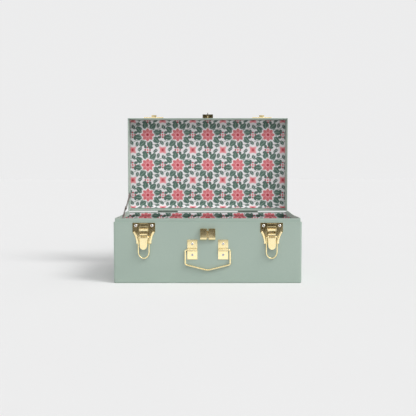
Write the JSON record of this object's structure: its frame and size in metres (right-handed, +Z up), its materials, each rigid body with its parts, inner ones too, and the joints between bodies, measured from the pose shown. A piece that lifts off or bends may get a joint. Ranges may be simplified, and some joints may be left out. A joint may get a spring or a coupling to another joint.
{
  "type": "small tin trunk",
  "caption": "Rectangular tin keepsake trunk with a hinged lid, draw latches, a padlock hasp, a wire handle, a folding lid stay and a printed lining.",
  "frame": {"origin": "centre of the underside of the body", "axes": "+Z up, the front with the latches faces -Y, +X to the viewer's right; the lid stands open as in the picture"},
  "size_m": [0.301, 0.2196, 0.2865],
  "materials": {
    "painted_tin": "satin",
    "printed_paper": "matte",
    "brass_plate": "polished",
    "rivet_steel": "satin",
    "stay_steel": "satin"
  },
  "bodies": {
    "body": {"body_shell": "painted_tin", "body_base": "painted_tin", "body_lining_floor": "printed_paper", "body_lining_walls": "printed_paper", "hinge_body_leaves": "painted_tin", "hinge_pins": "rivet_steel", "hinge_body_rivets": "rivet_steel", "latch_left_plate": "brass_plate", "latch_left_pin": "rivet_steel", "latch_left_rivets": "rivet_steel", "latch_right_plate": "brass_plate", "latch_right_pin": "rivet_steel", "latch_right_rivets": "rivet_steel", "hasp_keeper": "brass_plate", "hasp_keeper_rivets": "rivet_steel", "handle_bracket_left": "brass_plate", "handle_bracket_right": "brass_plate", "handle_rivets": "rivet_steel", "stay_body_pivot": "stay_steel"},
    "lid": {"lid_wrap": "painted_tin", "lid_end_left": "painted_tin", "lid_end_right": "painted_tin", "lid_lining": "printed_paper", "hinge_lid_leaves": "painted_tin", "hinge_lid_rivets": "rivet_steel", "strike_left": "brass_plate", "strike_right": "brass_plate", "strike_rivets": "rivet_steel", "hasp_tab": "brass_plate", "hasp_tab_rivets": "rivet_steel", "stay_lid_bracket": "stay_steel", "stay_lid_rivets": "stay_steel", "stay_upper_pivot": "stay_steel"},
    "left_latch_lever": {"latch_left_lever": "brass_plate"},
    "left_latch_loop": {"latch_left_loop": "brass_plate"},
    "right_latch_lever": {"latch_right_lever": "brass_plate"},
    "right_latch_loop": {"latch_right_loop": "brass_plate"},
    "handle": {"handle_bail": "brass_plate"},
    "stay_upper": {"stay_upper_arm": "stay_steel", "stay_elbow_rivet": "stay_steel"},
    "stay_lower": {"stay_lower_arm": "stay_steel"}
  },
  "joints": [
    {"name": "lid_hinge", "type": "hinge", "parent": "body", "child": "lid", "pos_m": [0, 0.092, 0.1005], "axis": [1, 0, 0], "range_deg": [0, 90]},
    {"name": "left_latch_lever", "type": "hinge", "parent": "body", "child": "left_latch_lever", "pos_m": [-0.1015, -0.0908, 0.086], "axis": [1, 0, 0], "range_deg": [-105, 0]},
    {"name": "left_latch_loop", "type": "hinge", "parent": "left_latch_lever", "child": "left_latch_loop", "pos_m": [-0.1015, -0.0908, 0.0746], "axis": [-1, 0, 0], "range_deg": [0, 180]},
    {"name": "right_latch_lever", "type": "hinge", "parent": "body", "child": "right_latch_lever", "pos_m": [0.1015, -0.0908, 0.086], "axis": [1, 0, 0], "range_deg": [-105, 0]},
    {"name": "right_latch_loop", "type": "hinge", "parent": "right_latch_lever", "child": "right_latch_loop", "pos_m": [0.1015, -0.0908, 0.0746], "axis": [-1, 0, 0], "range_deg": [0, 180]},
    {"name": "handle_swing", "type": "hinge", "parent": "body", "child": "handle", "pos_m": [0, -0.09, 0.054], "axis": [-1, 0, 0], "range_deg": [0, 155]},
    {"name": "stay_upper_pivot", "type": "hinge", "parent": "lid", "child": "stay_upper", "pos_m": [-0.145, 0.07, 0.1352], "axis": [-1, 0, 0], "range_deg": [0, 83.86]},
    {"name": "stay_lower_pivot", "type": "hinge", "parent": "body", "child": "stay_lower", "pos_m": [-0.1461, -0.0258, 0.0913], "axis": [-1, 0, 0], "range_deg": [0, 67.8]}
  ],
  "couplings": [
    {"joint": "stay_upper_pivot", "follows": "lid_hinge", "ratio": 0.93167},
    {"joint": "stay_lower_pivot", "follows": "lid_hinge", "ratio": 0.75325}
  ]
}
